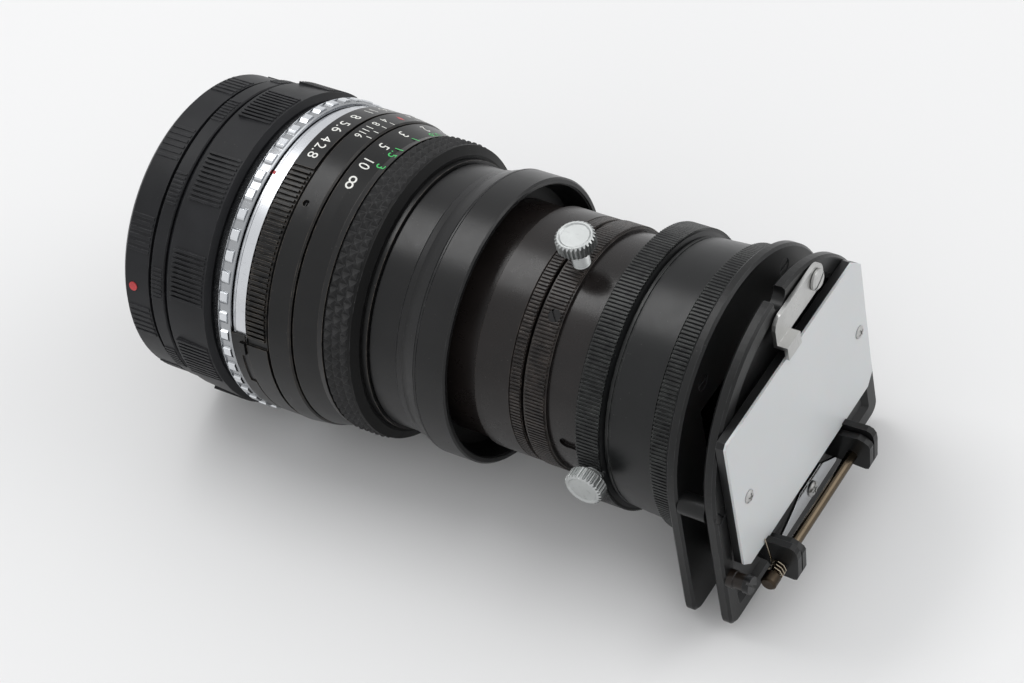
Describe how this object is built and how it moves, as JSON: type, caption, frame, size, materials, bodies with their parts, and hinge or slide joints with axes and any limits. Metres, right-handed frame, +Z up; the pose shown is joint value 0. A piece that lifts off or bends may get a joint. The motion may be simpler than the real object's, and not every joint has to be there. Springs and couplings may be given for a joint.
{
  "type": "slide duplicator",
  "caption": "Slide duplicator on a taking lens: camera mount rings, focus and aperture rings, turning and sliding tubes with thumbscrews, and a slide stage with a hinged diffuser door.",
  "frame": {"origin": "centre of the camera mount ring's rear face, on the optical axis", "axes": "+X along the optical axis from the camera towards the slide stage, +Z up along the stage's height, +Y away from the side with the lower thumbscrew"},
  "size_m": [0.1457, 0.0652, 0.0652],
  "materials": {
    "black_rings": "satin black paint",
    "lens_black": "satin black paint with engraved marks",
    "lock_chrome": "polished chrome",
    "barrel_silver": "bright aluminium",
    "switch_black": "black plastic",
    "grip_rubber": "moulded rubber",
    "lens_glass": "coated glass",
    "blade_steel": "dark steel",
    "series_black": "satin black anodised",
    "tube_brown": "satin brown black",
    "tube_gloss": "gloss brown black",
    "stage_green_black": "satin green black",
    "stage_black": "satin black paint",
    "door_black": "black plastic",
    "opal_white": "opal white plastic",
    "knob_nickel": "polished nickel",
    "steel": "bright steel",
    "rod_brown": "browned steel",
    "screw_black": "blackened steel",
    "mark_red": "red enamel"
  },
  "bodies": {
    "lens_body": {"camera_mount_ring": "black_rings", "mount_index_dot": "mark_red", "spacer_ring": "black_rings", "extension_barrel": "black_rings", "lens_barrel": "lens_black", "silver_barrel": "barrel_silver", "switch_cover": "lens_black", "scale_ring": "lens_black", "scale_screw": "screw_black", "rear_glass": "lens_glass"},
    "lock_ring": {"chrome_lock_ring": "lock_chrome"},
    "switch": {"auto_switch": "switch_black"},
    "aperture_control": {"aperture_ring": "lens_black"},
    "focus_control": {"focus_ring": "lens_black", "rubber_grip": "grip_rubber", "front_bezel": "lens_black"},
    "front_block": {"front_barrel": "lens_black", "front_glass": "lens_glass", "iris_blades": "blade_steel", "step_ring": "series_black", "series_ring": "series_black", "rear_tube": "tube_brown"},
    "iris_drive": {"iris_ring": "blade_steel"},
    "turning_tube": {"clamp_collar": "tube_brown", "collar_screw": "screw_black", "inner_tube": "tube_gloss"},
    "upper_knob": {"upper_thumbscrew": "knob_nickel"},
    "slide_stage": {"outer_barrel": "stage_green_black", "flange_ring": "stage_green_black", "rear_plate": "stage_black", "plate_screws": "screw_black", "spacer_posts": "stage_black", "post_screws": "screw_black", "stage_plate": "stage_black", "stop_post": "rod_brown", "stop_screw": "screw_black", "latch_screw": "steel", "hinge_rod": "rod_brown", "rod_cap": "rod_brown", "rod_nut": "rod_brown", "leaf_spring": "steel", "leaf_screw": "steel"},
    "lower_knob": {"lower_thumbscrew": "knob_nickel"},
    "stage_door": {"door_frame": "door_black", "diffuser": "opal_white", "diffuser_screws": "steel", "hinge_spring": "steel"},
    "door_latch": {"latch": "steel"}
  },
  "joints": [
    {"name": "lock_ring_turn", "type": "hinge", "parent": "lens_body", "child": "lock_ring", "pos_m": [0.0246, 0, 0], "axis": [1, 0, 0], "range_deg": [0, 30]},
    {"name": "switch_turn", "type": "hinge", "parent": "lens_body", "child": "switch", "pos_m": [0.0302, 0, 0], "axis": [1, 0, 0], "range_deg": [0, 13]},
    {"name": "aperture_turn", "type": "hinge", "parent": "lens_body", "child": "aperture_control", "pos_m": [0.0333, 0, 0], "axis": [1, 0, 0], "range_deg": [-37, 10]},
    {"name": "focus_turn", "type": "hinge", "parent": "lens_body", "child": "focus_control", "pos_m": [0.0486, 0, 0], "axis": [1, 0, 0], "range_deg": [-44, 12]},
    {"name": "front_travel", "type": "slide", "parent": "lens_body", "child": "front_block", "axis": [1, 0, 0], "range_m": [-0.0033, 0.0009]},
    {"name": "iris_turn", "type": "hinge", "parent": "front_block", "child": "iris_drive", "pos_m": [0.0343, 0, 0], "axis": [1, 0, 0], "range_deg": [-40, 12]},
    {"name": "tube_turn", "type": "hinge", "parent": "front_block", "child": "turning_tube", "pos_m": [0.0918, 0, 0], "axis": [1, 0, 0], "continuous": true},
    {"name": "upper_knob_turn", "type": "hinge", "parent": "turning_tube", "child": "upper_knob", "pos_m": [0.09228, -0.00177, 0.02895], "axis": [0, -0.0611, 0.9981], "range_deg": [0, 360]},
    {"name": "stage_slide", "type": "slide", "parent": "turning_tube", "child": "slide_stage", "axis": [1, 0, 0], "range_m": [-0.007, 0.006]},
    {"name": "lower_knob_turn", "type": "hinge", "parent": "slide_stage", "child": "lower_knob", "pos_m": [0.10597, -0.02898, -0.00101], "axis": [0, -0.9994, -0.0349], "range_deg": [0, 360]},
    {"name": "door_swing", "type": "hinge", "parent": "slide_stage", "child": "stage_door", "pos_m": [0.1376, 0, -0.022], "axis": [0, 1, 0], "range_deg": [0, 95], "stiffness_Nm_per_rad": 0.01, "springref_deg": -28.65},
    {"name": "latch_lift", "type": "hinge", "parent": "slide_stage", "child": "door_latch", "pos_m": [0.1335, 0.0114, 0.0239], "axis": [1, 0, 0], "range_deg": [-35, 0]}
  ],
  "couplings": [
    {"joint": "focus_turn", "follows": "front_travel", "rad_per_m": 232.5},
    {"joint": "iris_turn", "follows": "aperture_turn", "ratio": 1}
  ]
}
